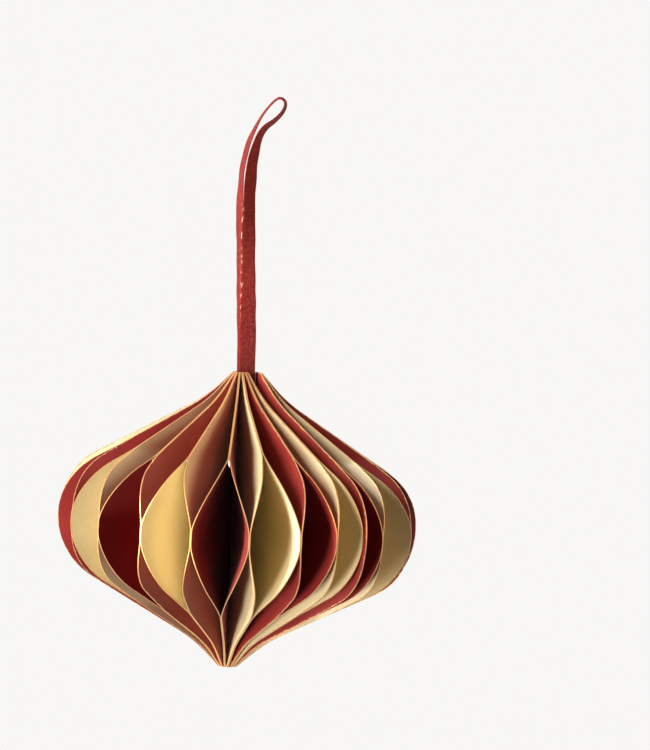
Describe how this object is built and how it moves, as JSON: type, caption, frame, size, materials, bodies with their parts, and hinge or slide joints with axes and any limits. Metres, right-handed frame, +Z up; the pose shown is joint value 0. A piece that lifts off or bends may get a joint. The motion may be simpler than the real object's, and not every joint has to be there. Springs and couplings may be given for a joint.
{
  "type": "honeycomb paper ornament",
  "caption": "Hanging ornament of folded paper sheets in two colours, glued edge to edge into a honeycomb onion shape, with a ribbon loop.",
  "frame": {"origin": "middle of the ball: on the axis of the ring of folds, at the level where the ball is widest", "axes": "+Z up along the ring of folds, towards the hanging ribbon; -Y towards the side first seen, +X to its right"},
  "size_m": [0.0997, 0.0994, 0.159],
  "materials": {
    "red_paper": "pearly satin, dyed through, with gilded cut edges",
    "gold_paper": "pearly satin, pale gold, with gilded cut edges",
    "ribbon": "woven, with a soft sheen"
  },
  "bodies": {
    "root": {"red_sheet_01": "red_paper", "gold_sheet_02": "gold_paper", "red_sheet_03": "red_paper", "gold_sheet_04": "gold_paper", "red_sheet_05": "red_paper", "gold_sheet_06": "gold_paper", "red_sheet_07": "red_paper", "gold_sheet_08": "gold_paper", "red_sheet_09": "red_paper", "gold_sheet_10": "gold_paper", "red_sheet_11": "red_paper", "gold_sheet_12": "gold_paper", "red_sheet_13": "red_paper", "gold_sheet_14": "gold_paper", "red_sheet_15": "red_paper", "gold_sheet_16": "gold_paper", "red_sheet_17": "red_paper", "gold_sheet_18": "gold_paper", "red_sheet_19": "red_paper", "gold_sheet_20": "gold_paper", "hanging_ribbon": "ribbon"}
  },
  "joints": []
}
